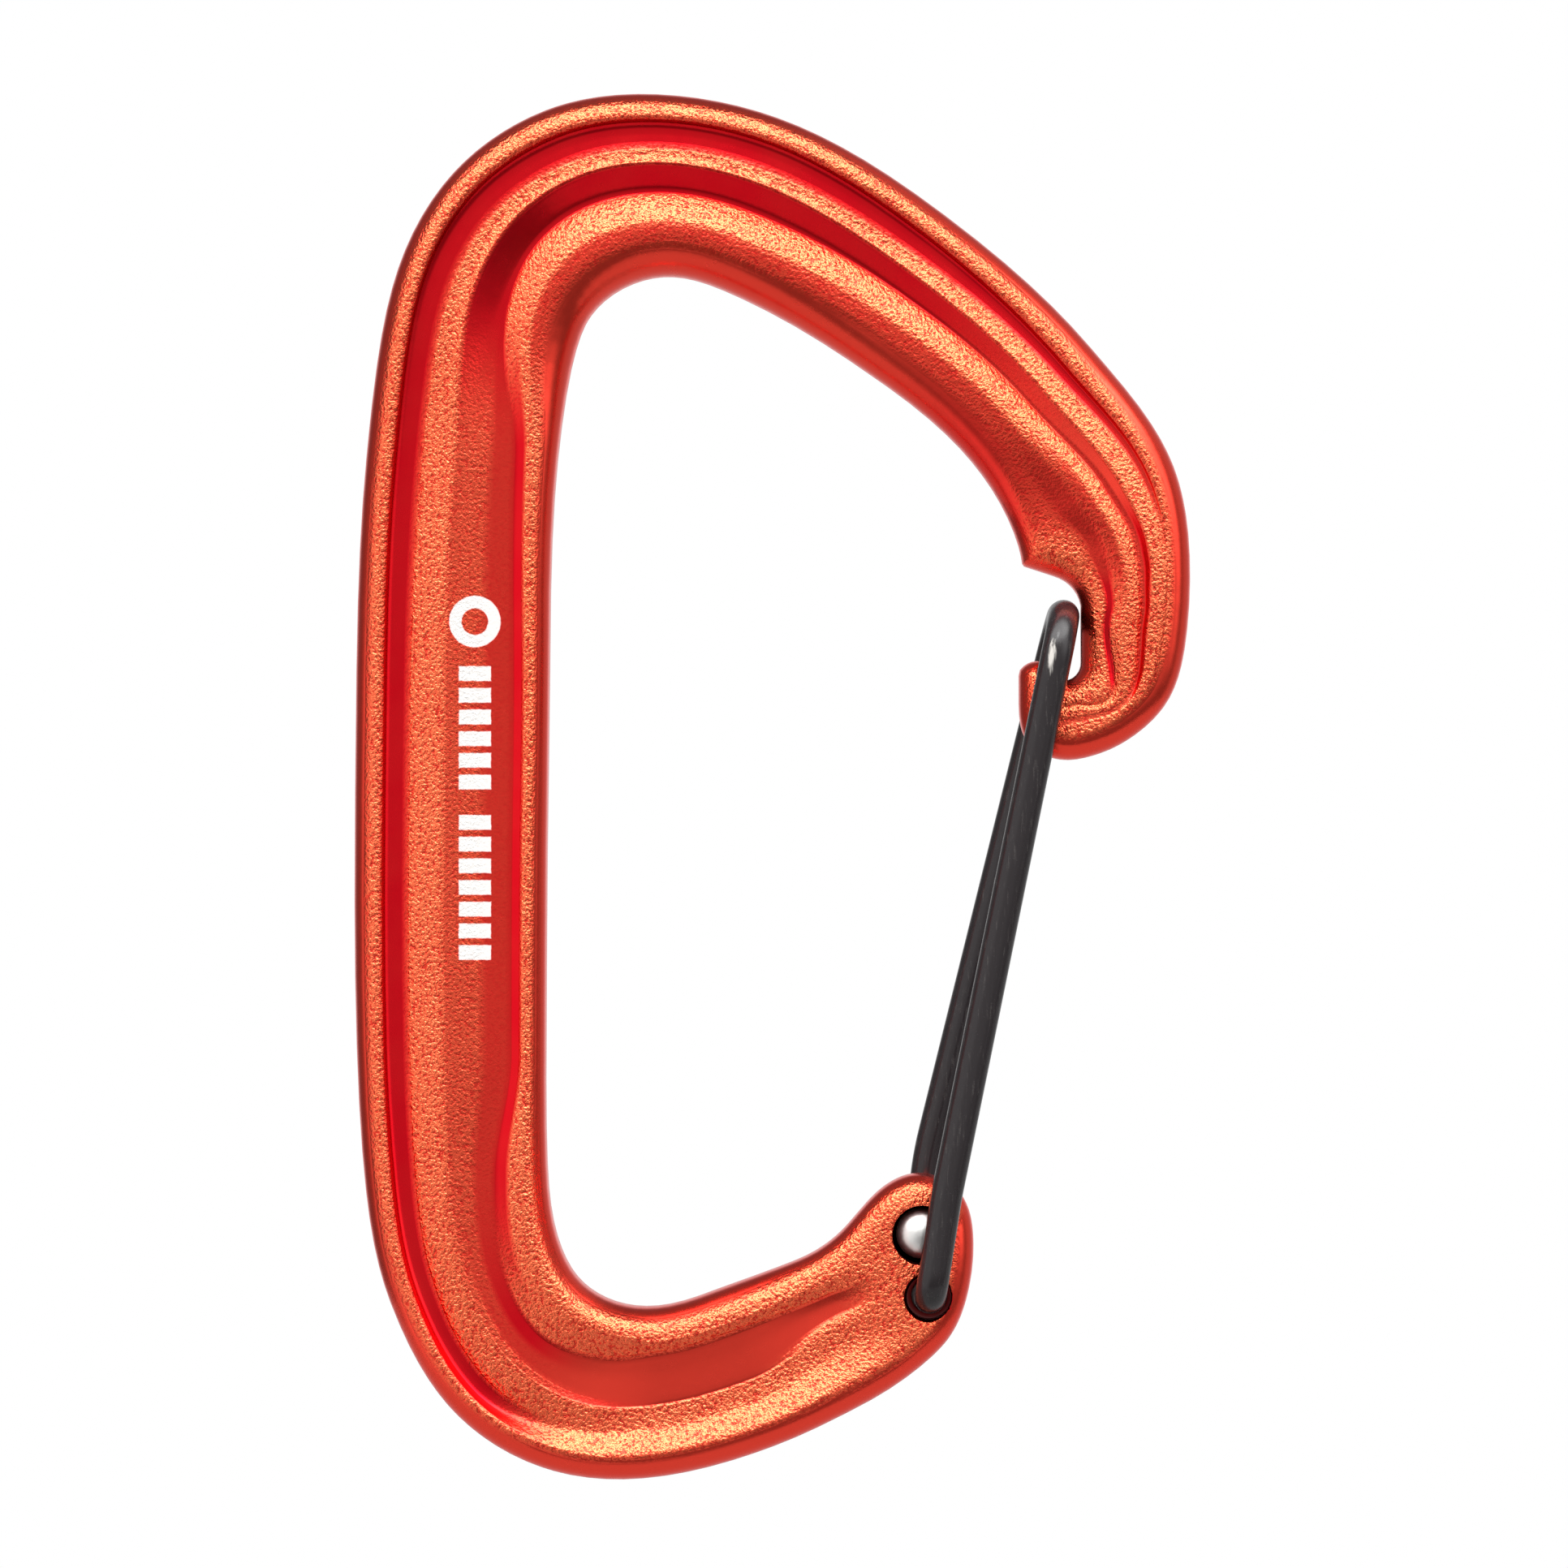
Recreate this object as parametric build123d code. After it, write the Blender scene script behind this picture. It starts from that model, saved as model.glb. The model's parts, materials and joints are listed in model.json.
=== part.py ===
"""Wire-gate carabiner: a forged I-beam body and a bent wire gate, in millimetres.

Frame: +Z up along the spine, +X from the spine towards the gate, +Y away from the front face.
The origin is the highest point of the opening, where the body bears on what it hangs from.
"""

from build123d import *
from build123d.topology import SkipClean
import math
import os

# ---- overall sizes of the body ----
overall_height = 96.0
overall_width = 58.1
drawn_height = 96.0  # the height and width at which the ribs below are listed
drawn_width = 58.1

# ---- thickness of the forging ----
top_thickness = 8.2
spine_thickness = 6.3
bottom_thickness = 7.2
nose_thickness = 4.8
boss_thickness = 5.2
edge_radius = 2.0  # rounding all round the outline
web_thickness = 2.0  # floor of the wide recess
groove_floor_thickness = 3.3  # floor of the narrow outer groove

# ---- wire gate ----
wire_diameter = 2.2
elbow_radius = 1.7  # centreline radius where a leg turns into its bore
crown_radius = 3.0  # centreline radius at each side of the crown
leg_bend_radius = 25.0
leg_gap = 0.6  # between a leg and the boss face
nose_gap = 0.3  # between a leg and the nose
crown_gap = 0.12  # between the closed crown and the notch wall
ball_diameter = 3.5  # steel ball on the end of each leg
ball_clearance = 0.3
ball_leg_clearance = 0.1
bore_clearance = 0.45

# ---- recess and groove proportions ----
recess_wall = 1.1  # how far a recess wall leans in from its mouth to its floor
groove_wall = 0.9

# ---- where extra height and width are taken up ----
stretch_z = (-36.0, -56.0)  # down the straight spine and the gate
stretch_x = (-4.0, 11.0)  # along the roof and the bottom rail


def share(value, span):
    """How far value lies along span, from 0 to 1."""
    start, end = span
    return min(1.0, max(0.0, (value - start) / (end - start)))


def place(x, z):
    """A point of the drawn outline, moved for the overall height and width."""
    return (
        x + (overall_width - drawn_width) * share(x, stretch_x),
        z - (overall_height - drawn_height) * share(z, stretch_z),
    )


# ---- gate axes, in the plane of the body ----
front_pivot = place(18.1, -70.8)
rear_pivot = place(17.5, -66.4)
crown = place(27.4, -23.55)
front_bore_shift = (-0.15, 0.08)  # the spring holds each leg against one side of its bore
rear_bore_shift = (-0.01, -0.06)
front_leg_bend = (front_pivot[0] + 1.1, front_pivot[1] + 7.1)
rear_leg_bend = (rear_pivot[0] + 0.6, rear_pivot[1] + 5.2)

# ---- ribs: one section of the body each, from its outer edge to its inner edge ----
# name: centre x, centre z, outward direction in degrees, width,
#       recess from and to, groove from and to, all measured in from the outer edge
ribs = {
    "nose_low": (29.35, -29.6, -3, 10.1, 4.4, 5.5, None, None),
    "nose_middle": (30.15, -25.0, 0, 11.6, 5.1, 6.6, 3.0, 4.0),
    "nose_root": (30.4, -20.2, 1, 11.6, 4.9, 7.0, 2.7, 4.1),
    "shoulder": (29.4, -15.2, 20, 12.0, 5.6, 8.8, 2.2, 4.6),
    "roof_low": (25.0, -8.7, 42, 11.4, 5.3, 8.3, 2.0, 4.7),
    "roof_middle": (16.0, -0.9, 55, 12.0, 5.3, 8.9, 2.0, 4.8),
    "roof_high": (5.9, 4.9, 75, 12.5, 5.3, 9.2, 2.0, 4.8),
    "top": (0.0, 6.27, 90, 12.5, 5.3, 9.3, 2.0, 4.8),
    "top_corner_1": (-6.0, 5.25, 112, 13.4, 5.6, 10.1, 2.0, 4.9),
    "top_corner_2": (-10.0, 2.4, 132, 13.7, 5.8, 10.9, 2.1, 5.1),
    "top_corner_3": (-12.4, -1.7, 152, 13.6, 5.9, 11.2, 2.2, 5.2),
    "top_corner_4": (-13.6, -6.6, 168, 13.3, 6.0, 11.2, 2.3, 5.2),
    "spine_high": (-14.4, -13.0, 176, 13.2, 6.1, 11.2, 2.3, 5.2),
    "spine_middle": (-15.05, -32.0, 180, 13.4, 6.2, 11.3, 2.4, 5.3),
    "spine_low": (-15.1, -54.0, 181, 13.1, 6.0, 11.0, 2.4, 5.1),
    "bottom_corner_1": (-14.8, -62.0, 184, 12.7, 5.7, 10.6, 2.4, 4.9),
    "bottom_corner_2": (-13.5, -69.1, 200, 12.4, 5.4, 10.0, 2.4, 4.6),
    "bottom_corner_3": (-10.4, -74.4, 225, 12.6, 5.2, 9.9, 2.5, 4.3),
    "bottom_corner_4": (-5.1, -77.25, 250, 12.4, 4.4, 9.7, None, None),
    "bottom": (0.0, -77.3, 272, 11.7, 3.8, 9.2, None, None),
    "bottom_rail": (5.5, -75.7, 287, 11.5, 3.9, 8.6, None, None),
    "rail_end": (10.1, -73.8, 295, 11.1, 4.3, 7.8, None, None),
    "boss_root": (11.9, -72.95, 297, 10.9, 4.6, 7.4, None, None),
    "boss_middle": (14.8, -70.95, 302, 10.8, None, None, None, None),
}
boss_cap = [(19.65, -73.4), (20.85, -70.2), (21.15, -66.9), (20.2, -63.6), (17.4, -62.3), (14.7, -63.4)]
nose_cap = [(24.9, -32.3), (27.2, -33.55), (30.0, -33.1), (32.5, -31.75)]

# ---- the nose's notch, from the crown's axis ----
notch_corner = place(24.83, -20.17)
notch_roof = place(26.9, -20.85)
notch_roof_radius = 2.0
slot_depth = 4.5  # from the crown's axis to the bottom of the slot
lip_height = 1.2  # the lip's top above the bottom of the slot
lip_top = place(25.3, 0)[0]
lip_radius = 0.75


def across(rib, distance):
    """The point that distance in from a rib's outer edge."""
    x, z, angle, width = ribs[rib][:4]
    x, z = place(x, z)
    out = width / 2 - distance
    return (x + out * math.cos(math.radians(angle)), z + out * math.sin(math.radians(angle)))


def heading(before, point, after):
    """The direction of the circle through three points, at the middle one."""
    first, second = Vector(*point) - Vector(*before), Vector(*after) - Vector(*point)
    return (first * (second.length / first.length) + second * (first.length / second.length)).normalized()


def smooth_loop(points, step):
    """A closed chain of splines, each over that many points, tangent to the next."""
    count = len(points)
    headings = [heading(points[i - 1], points[i], points[(i + 1) % count]) for i in range(count)]
    edges = []
    for start in range(0, count, step):
        end = min(start + step, count)
        span = [points[i % count] for i in range(start, end + 1)]
        edges.append(Spline(*span, tangents=[headings[start], headings[end % count]], tangent_scalars=[1, 1]))
    return edges


def outline():
    """The body's outline, with the nose still closed."""
    outer = [across(n, 0) for n in ribs]
    inner = [across(n, ribs[n][3]) for n in reversed(ribs)]
    boss = [place(*p) for p in boss_cap]
    nose = [place(*p) for p in nose_cap]
    loop = Wire(smooth_loop([*outer, *boss, *inner, *nose], 4))
    return Plane.XZ * Face(loop)


def notch():
    """What is cut from the nose so that the crown can swing in over the lip."""
    slot = wire_diameter / 2 + crown_gap
    wall = crown[0] + slot
    bottom = crown[1] - slot_depth
    roof_end = (wall, notch_roof[1] - notch_roof_radius)
    slot_right, slot_left = (wall, bottom + slot), (wall - 2 * slot, bottom + slot)
    top = bottom + max(lip_height, slot)
    lip_left = (lip_top - lip_radius - 0.3, top - lip_radius)
    outside = lip_top - 5
    with BuildSketch(Plane.XZ) as sketch:
        with BuildLine():
            Polyline((outside, notch_corner[1] + 1.5), notch_corner, notch_roof)
            TangentArc(notch_roof, roof_end, tangent=Vector(*notch_roof) - Vector(*notch_corner))
            Line(roof_end, slot_right)
            ThreePointArc(slot_right, (wall - slot, bottom), slot_left)
            if top > slot_left[1] + 0.01:
                Line(slot_left, (slot_left[0], top))
            ThreePointArc((slot_left[0], top), (lip_top, top + 0.1), lip_left)
            Polyline(lip_left, (outside, lip_left[1] - 1), (outside, notch_corner[1] + 1.5))
        make_face()
    return extrude(sketch.sketch, amount=top_thickness, both=True)


def channel(columns, floor_half, wall_lean):
    """A drafted channel along the ribs, on the front face, between two distances in from the outer edge."""
    start_column, end_column = columns
    names = [n for n in ribs if ribs[n][start_column] is not None]
    mouth_half = top_thickness / 2 + 0.5
    widths = [ribs[n][end_column] - ribs[n][start_column] for n in names]
    leans = [min(wall_lean, 0.25 * width) for width in widths]
    mouth_share = 1 - (mouth_half - floor_half) / (spine_thickness / 2 - floor_half)
    rings = []
    for half, part in ((floor_half, 1), (mouth_half, mouth_share)):
        near = [across(n, ribs[n][start_column] + part * lean) for n, lean in zip(names, leans)]
        far = [across(n, ribs[n][end_column] - part * lean) for n, lean in zip(names, leans)]
        rings.append(channel_ring(near, far, half))
    return loft(rings, ruled=True)


def channel_ring(near, far, half):
    """The channel's outline at one depth, between two lines of points, with round ends."""
    plane = Plane(origin=(0, -half, 0), x_dir=(1, 0, 0), z_dir=(0, -1, 0))
    with BuildSketch(plane) as sketch:
        with BuildLine():
            Spline(*near)
            round_end(near[-2], near[-1], far[-1])
            Spline(*reversed(far))
            round_end(far[1], far[0], near[0])
        make_face()
    return sketch.sketch


def round_end(before, start, end):
    """An arc that closes a channel, standing out past the rib it ends on."""
    way = (Vector(*start) - Vector(*before)).normalized()
    span = (Vector(*end) - Vector(*start)).length
    middle = (Vector(*start) + Vector(*end)) / 2 + way * (0.35 * span)
    ThreePointArc(start, (middle.X, middle.Y), end)


def side_cutter():
    """What brings the front face down to the top's, the spine's and the bottom's thickness."""
    top, spine, bottom = top_thickness / 2, spine_thickness / 2, bottom_thickness / 2
    far = top + 3
    heights = [place(0, z)[1] for z in (-4, -19, -56, -68, -90)]
    with BuildSketch(Plane.YZ.offset(-overall_width)) as sketch:
        with BuildLine():
            Polyline((-far, heights[4]), (-far, heights[0]), (-top, heights[0]))
            Spline((-top, heights[0]), (-spine, heights[1]), tangents=[(0, -1), (0, -1)])
            Line((-spine, heights[1]), (-spine, heights[2]))
            Spline((-spine, heights[2]), (-bottom, heights[3]), tangents=[(0, -1), (0, -1)])
            Polyline((-bottom, heights[3]), (-bottom, heights[4]), (-far, heights[4]))
        make_face()
    return extrude(sketch.sketch, amount=2 * overall_width)


def end_cutter(thick, thin, start, end, low, high):
    """What thins the front face from thick to thin, between two places along X, over a range of Z."""
    far, edge = top_thickness / 2 + 3, overall_width
    start, end, low, high = place(start, 0)[0], place(end, 0)[0], place(0, low)[1], place(0, high)[1]
    with BuildSketch(Plane.XY.offset(low)) as sketch:
        with BuildLine():
            Spline((start, -thick), (end, -thin), tangents=[(1, 0), (1, 0)])
            Polyline((end, -thin), (edge, -thin), (edge, -far), (start, -far), (start, -thick))
        make_face()
    return extrude(sketch.sketch, amount=high - low)


def round_rims(body, radius):
    """Rounds every edge where the outline's wall meets a face."""
    walls = [f for f in body.faces() if abs(f.normal_at().Y) < 0.01]
    rims = [e for f in walls for e in f.edges() if abs((e % 0.5).Y) < 0.9]
    return fillet(rims, radius)


def bore(pivot, shift, ball_side):
    """A leg's bore through the boss, with the ball's counterbore at the far face."""
    x, z = pivot[0] + shift[0], pivot[1] + shift[1]
    bore_radius = wire_diameter / 2 + bore_clearance
    seat_radius = ball_diameter / 2 + ball_clearance
    seat_end = ball_centre() - ball_diameter / 2 - ball_clearance / 2
    through = Plane(origin=(x, 0, z), z_dir=(0, ball_side, 0))
    seat = Plane(origin=(x, ball_side * seat_end, z), z_dir=(0, ball_side, 0))
    return [
        through * Cylinder(bore_radius, 2 * top_thickness),
        seat * Cylinder(seat_radius, top_thickness, align=(Align.CENTER, Align.CENTER, Align.MIN)),
    ]


def ball_centre():
    """How far a ball's centre lies from the mid-plane, so that the other leg clears it."""
    return leg_plane() - wire_diameter / 2 - ball_leg_clearance - ball_diameter / 2


def leg_plane():
    """How far a leg's centreline lies from the mid-plane at the boss."""
    return boss_thickness / 2 + leg_gap + wire_diameter / 2


def crown_plane():
    """How far a leg's centreline lies from the mid-plane at the nose."""
    return nose_thickness / 2 + nose_gap + wire_diameter / 2


def make_body():
    nose, boss = nose_thickness / 2, boss_thickness / 2
    shaping = [
        side_cutter(),
        end_cutter(top_thickness / 2, nose, 2, 27, -45, 20),
        end_cutter(bottom_thickness / 2, boss, 4, 15, -90, -58),
    ]
    channels = [
        channel((4, 5), web_thickness / 2, recess_wall),
        channel((6, 7), groove_floor_thickness / 2, groove_wall),
    ]
    bores = [*bore(front_pivot, front_bore_shift, 1), *bore(rear_pivot, rear_bore_shift, -1)]
    with SkipClean():
        body = extrude(outline(), amount=top_thickness / 2, both=True, clean=False)
        body = cut_both_faces(body, shaping)
        body = round_rims(body, min(edge_radius, 0.42 * nose_thickness))
        body = cut_both_faces(body, channels)
        body = body - notch()
        for cutter in bores:
            body = body - cutter
    return body


def cut_both_faces(body, cutters):
    """The body without the cutters and their mirror images on the other face."""
    for cutter in cutters:
        body = body - cutter - mirror(cutter, about=Plane.XZ)
    return body


def weld_flat():
    """Distance from a ball's centre to the flat that is welded to the wire."""
    radius = wire_diameter / 2 + 0.05
    return math.sqrt((ball_diameter / 2) ** 2 - radius**2)


def make_leg(pivot, bend, side):
    """Half of the gate wire: stub, elbow, leg and half of the crown. side is -1 for the front leg."""
    stub_end = -side * (ball_centre() - weld_flat())
    path = FilletPolyline(
        (pivot[0], stub_end, pivot[1]),
        (pivot[0], side * leg_plane(), pivot[1]),
        (bend[0], side * leg_plane(), bend[1]),
        (crown[0], side * crown_plane(), crown[1]),
        (crown[0], 0, crown[1]),
        radius=[elbow_radius, leg_bend_radius, crown_radius],
    )
    section = Plane(origin=path @ 0, z_dir=path % 0) * Circle(wire_diameter / 2)
    return sweep(section, path=path)


def make_ball(pivot, side):
    """The ball on a leg's far end, flat where it is welded on. side is the leg's side."""
    centre = Vector(pivot[0], -side * ball_centre(), pivot[1])
    ball = Pos(centre) * Sphere(ball_diameter / 2)
    flat = Plane(origin=centre + Vector(0, side * weld_flat(), 0), z_dir=(0, side, 0))
    return ball - flat * Cylinder(ball_diameter, ball_diameter, align=(Align.CENTER, Align.CENTER, Align.MIN))


def main():
    os.makedirs("parts", exist_ok=True)
    pieces = {
        "body": make_body(),
        "gate_front_leg": make_leg(front_pivot, front_leg_bend, -1),
        "gate_rear_leg": make_leg(rear_pivot, rear_leg_bend, 1),
        "front_leg_ball": make_ball(front_pivot, -1),
        "rear_leg_ball": make_ball(rear_pivot, 1),
    }
    for name, shape in pieces.items():
        export_step(shape, f"parts/{name}.step")
        print(name, "volume", round(shape.volume, 1), "solids", len(shape.solids()))


main()
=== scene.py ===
"""Builds the finished looks of a wire-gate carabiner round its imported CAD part."""

import json
import math

import bmesh
import bpy
import numpy as np
from bpy.props import FloatProperty, FloatVectorProperty, IntProperty, PointerProperty
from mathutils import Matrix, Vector
from mathutils.kdtree import KDTree


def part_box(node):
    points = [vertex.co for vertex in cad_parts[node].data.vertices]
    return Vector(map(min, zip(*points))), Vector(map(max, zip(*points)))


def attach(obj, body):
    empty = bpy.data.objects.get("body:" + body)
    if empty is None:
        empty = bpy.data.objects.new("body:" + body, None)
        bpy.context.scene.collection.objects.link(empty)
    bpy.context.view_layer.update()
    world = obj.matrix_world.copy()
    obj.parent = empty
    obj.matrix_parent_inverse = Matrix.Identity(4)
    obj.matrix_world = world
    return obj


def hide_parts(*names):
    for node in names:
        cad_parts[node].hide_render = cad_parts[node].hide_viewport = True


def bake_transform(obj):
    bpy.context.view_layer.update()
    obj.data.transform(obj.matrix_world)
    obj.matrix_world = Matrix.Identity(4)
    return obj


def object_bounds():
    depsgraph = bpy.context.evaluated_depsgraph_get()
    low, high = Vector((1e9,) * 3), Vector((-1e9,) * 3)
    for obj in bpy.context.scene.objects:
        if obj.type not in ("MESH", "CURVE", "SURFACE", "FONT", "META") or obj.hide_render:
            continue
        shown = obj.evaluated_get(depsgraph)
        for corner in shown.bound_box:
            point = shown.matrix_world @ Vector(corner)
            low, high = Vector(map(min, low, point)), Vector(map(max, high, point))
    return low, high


bl_info = {
    "name": "Wire-gate carabiner",
    "version": (1, 0, 0),
    "blender": (4, 5, 0),
    "location": "View3D > Sidebar > Carabiner",
    "description": "Forged body, bent wire gate, ball heads and studio stage for a wire-gate carabiner",
    "category": "Object",
}

MM = 0.001

# All of these are in millimetres unless they say otherwise.
ROW_STEP = 0.42  # the most that the body's rows lie apart
BORDER = 0.16  # width of the soft border between two finishes
CREASE = 0.22  # how softly the rim meets the ridges beside it
RIM_WALL = 0.985  # share of the rim's radius that it has risen by where it meets the outer ridge
RIM_CHANGE = (0.35, 0.3)  # the share across where the outer rim's numbers start to give way, and for how long
TIP_WELD = 0.03  # points this close together on the last row, at the nose's tip, become one
BOSS_FACE = 2.6  # the boss's faces, out from the mid-plane
BORE_SHADE = 2.0  # the painted shade value inside the bores, beyond any wall's, so that they are painted darkest
CROWN_HALF = 3.8  # half the distance between the legs' centrelines at the crown
LEG_BEND = 25.0  # centreline radius of the shallow bend low on each leg
BALLS = ("front_leg_ball", "rear_leg_ball")
# The gate's legs: the CAD node, its foot's ball, its side, and its bend's place from the foot in x and z.
LEGS = (("gate_front_leg", BALLS[0], -1, (1.1, 7.1)), ("gate_rear_leg", BALLS[1], 1, (0.6, 5.2)))
COLLAR = 0.12  # how far a ball's collar stands out round the wire

MARK_PLACE = (-13.4, -24.0)  # the middle of the printed ring, as x and z
RING_RADIUS, RING_HALF = 1.35, 0.42
DASH_STEP, DASH_HALF, DASH_REACH = 1.5, 0.5, 1.1  # each dash's step, half its height and half its width
DASH_RUNS = ((-27.6, 6), (-37.9, 7))  # the first dash's height in each run, and how many there are
MARK_COLOUR = (0.60, 0.58, 0.56)

PAINTED_HIGHLIGHT_PLACE = (26.45, -26.4)  # the middle of the painted highlight on the wire by the nose, as x and z
PAINTED_HIGHLIGHT_LEAN, PAINTED_HIGHLIGHT_NARROW = 0.12, 4.2  # the wire's lean there, and how much narrower than long the spot is
# The colour of the wire's painted highlight.
PAINTED_HIGHLIGHT_COLOUR = (0.60, 0.57, 0.53)

# The stage, in metres.
KEY_PLACE, KEY_SIZE = (-0.08, -0.42, 0.50), (0.15, 0.10)
FLOOR_RINGS = (0.15, 0.3, 0.45, 0.55)
FLOOR_BACK, FLOOR_DROP = 0.3, 0.2  # the floor's middle behind the object, and its height below it
SENSOR = 36  # width of the camera's sensor, in millimetres
CAMERA_SHIFT = (0.8, 0.2)  # the camera's place beside and above the object's middle, in millimetres

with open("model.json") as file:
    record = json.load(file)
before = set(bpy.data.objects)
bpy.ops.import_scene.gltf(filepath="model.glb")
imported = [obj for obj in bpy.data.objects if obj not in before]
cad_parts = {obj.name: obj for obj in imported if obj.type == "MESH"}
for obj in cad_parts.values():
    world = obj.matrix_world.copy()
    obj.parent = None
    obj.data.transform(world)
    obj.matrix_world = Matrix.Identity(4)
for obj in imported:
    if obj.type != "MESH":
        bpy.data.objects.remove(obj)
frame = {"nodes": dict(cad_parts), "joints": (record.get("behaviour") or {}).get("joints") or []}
cad_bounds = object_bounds()


# ---------------------------------------------------------------- shader maths


class Value:
    """A shader socket that takes part in Python arithmetic and adds the Math nodes it needs."""

    def __init__(self, recipe, socket):
        self.recipe = recipe
        self.socket = socket

    def _math(self, operation, *values):
        return self.recipe.node("ShaderNodeMath", {"operation": operation}, dict(enumerate(values)))

    def __add__(self, other):
        return self._math("ADD", self, other)

    __radd__ = __add__

    def __sub__(self, other):
        return self._math("SUBTRACT", self, other)

    def __rsub__(self, other):
        return self._math("SUBTRACT", other, self)

    def __mul__(self, other):
        return self._math("MULTIPLY", self, other)

    __rmul__ = __mul__

    def __lt__(self, other):
        return self._math("LESS_THAN", self, other)

    def __abs__(self):
        return self._math("ABSOLUTE", self)

    def at_least(self, other):
        return self._math("MAXIMUM", self, other)

    def at_most(self, other):
        return self._math("MINIMUM", self, other)

    def repeated(self, step):
        """The same stretch over and over: from half a step below 0 to half a step above."""
        return self._math("WRAP", self, step / 2, -step / 2)

    def root(self):
        return self._math("SQRT", self)

    def ramp(self, start, end):
        """0 below start, 1 above end, and smooth between them."""
        settings = {"interpolation_type": "SMOOTHSTEP"}
        return self.recipe.node("ShaderNodeMapRange", settings, {0: self, 1: start, 2: end})


class Recipe:
    """A material's or a world's node tree, and the one way nodes are added to it."""

    def __init__(self, owner):
        owner.use_nodes = True
        self.tree = owner.node_tree
        self.tree.nodes.clear()

    def node(self, kind, settings=None, inputs=None, output=0):
        made = self.tree.nodes.new(kind)
        for name, setting in (settings or {}).items():
            setattr(made, name, setting)
        for key, value in (inputs or {}).items():
            if isinstance(value, Value):
                self.tree.links.new(value.socket, made.inputs[key])
            else:
                made.inputs[key].default_value = value
        return Value(self, made.outputs[output])

    def finish(self, kind, surface):
        output = self.tree.nodes.new(kind)
        self.tree.links.new(surface.socket, output.inputs["Surface"])

    def principled(self, inputs):
        """Ends a material with one Principled BSDF."""
        self.finish("ShaderNodeOutputMaterial", self.node("ShaderNodeBsdfPrincipled", {}, inputs))

    def split(self, vector):
        """A vector's x, y and z."""
        parts = self.tree.nodes.new("ShaderNodeSeparateXYZ")
        self.tree.links.new(vector.socket, parts.inputs[0])
        return [Value(self, socket) for socket in parts.outputs]

    def place(self):
        """The point's own place on the piece in millimetres, as a vector and as x, y and z."""
        place = self.node("ShaderNodeTexCoord", output=3)
        scaled = self.node("ShaderNodeVectorMath", {"operation": "SCALE"}, {0: place, 3: 1 / MM})
        return scaled, self.split(scaled)

    def noise(self, place, scale, detail=2.0, roughness=0.5):
        inputs = {"Vector": place, "Scale": scale, "Detail": detail, "Roughness": roughness}
        return self.node("ShaderNodeTexNoise", {}, inputs)

    def painted(self, name):
        """A value painted on the mesh's points."""
        return self.node("ShaderNodeAttribute", {"attribute_name": name}, output=2)

    def colour(self, factor, first, second):
        inputs = {0: factor, 6: first, 7: second}
        return self.node("ShaderNodeMix", {"data_type": "RGBA"}, inputs, output=2)

    def bump(self, height, distance, strength=1.0, normal=None):
        inputs = {"Strength": strength, "Distance": distance, "Height": height}
        if normal is not None:
            inputs["Normal"] = normal
        return self.node("ShaderNodeBump", {}, inputs)


def new_material(name):
    material = bpy.data.materials.new(name)
    return material, Recipe(material)


# ---------------------------------------------------------------- curves and sections


def smooth_through(xs, ys, x):
    """Cubic interpolation through points that never overshoots them."""
    xs, ys = np.asarray(xs, float), np.asarray(ys, float)
    step = np.diff(xs)
    slope = np.diff(ys) / step
    tangent = np.zeros(len(xs))
    tangent[0], tangent[-1] = slope[0], slope[-1]
    same = slope[:-1] * slope[1:] > 0
    near, far = 2 * step[1:] + step[:-1], step[1:] + 2 * step[:-1]
    with np.errstate(divide="ignore", invalid="ignore"):
        mean = (near + far) / (near / slope[:-1] + far / slope[1:])
    tangent[1:-1] = np.where(same, mean, 0)
    index = np.clip(np.searchsorted(xs, x) - 1, 0, len(step) - 1)
    width = step[index]
    t = (x - xs[index]) / width
    a, b = ys[index], ys[index + 1]
    return (
        (1 + 2 * t) * (1 - t) ** 2 * a
        + t * (1 - t) ** 2 * width * tangent[index]
        + t * t * (3 - 2 * t) * b
        + t * t * (t - 1) * width * tangent[index + 1]
    )


class Outline:
    """The closed line where the body's mid-plane cuts its wall, in millimetres."""

    def __init__(self, points):
        self.points = np.array(points)
        closed = np.vstack([self.points, self.points[:1]])
        self.run = np.concatenate([[0], np.cumsum(np.linalg.norm(np.diff(closed, axis=0), axis=1))])
        self.closed = closed
        self.length = self.run[-1]

    def at(self, run):
        run = np.mod(run, self.length)
        return np.stack([np.interp(run, self.run, self.closed[:, k]) for k in (0, 1)], axis=-1)

    def nearest(self, point):
        """How far along the line the nearest place to a point is."""
        start, end = self.closed[:-1], self.closed[1:]
        side = end - start
        length = np.einsum("ij,ij->i", side, side)
        share = np.clip(np.einsum("ij,ij->i", np.array(point) - start, side) / length, 0, 1)
        gap = np.linalg.norm(start + side * share[:, None] - np.array(point), axis=1)
        best = int(np.argmin(gap))
        return self.run[best] + share[best] * np.linalg.norm(side[best])

    def distance(self, points):
        """Each point's distance from the line."""
        tree = KDTree(len(self.points))
        for index, place in enumerate(self.points):
            tree.insert((place[0], place[1], 0), index)
        tree.balance()
        start, side = self.closed[:-1], np.diff(self.closed, axis=0)
        length = np.einsum("ij,ij->i", side, side)
        gaps = []
        for point in points:
            near = [index for _, index, _ in tree.find_n((point[0], point[1], 0), 3)]
            near = np.array(near + [(index - 1) % len(start) for index in near])
            away = point - start[near]
            share = np.clip(np.einsum("ij,ij->i", away, side[near]) / length[near], 0, 1)
            gaps.append(np.linalg.norm(away - side[near] * share[:, None], axis=1).min())
        return np.array(gaps)


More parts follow.
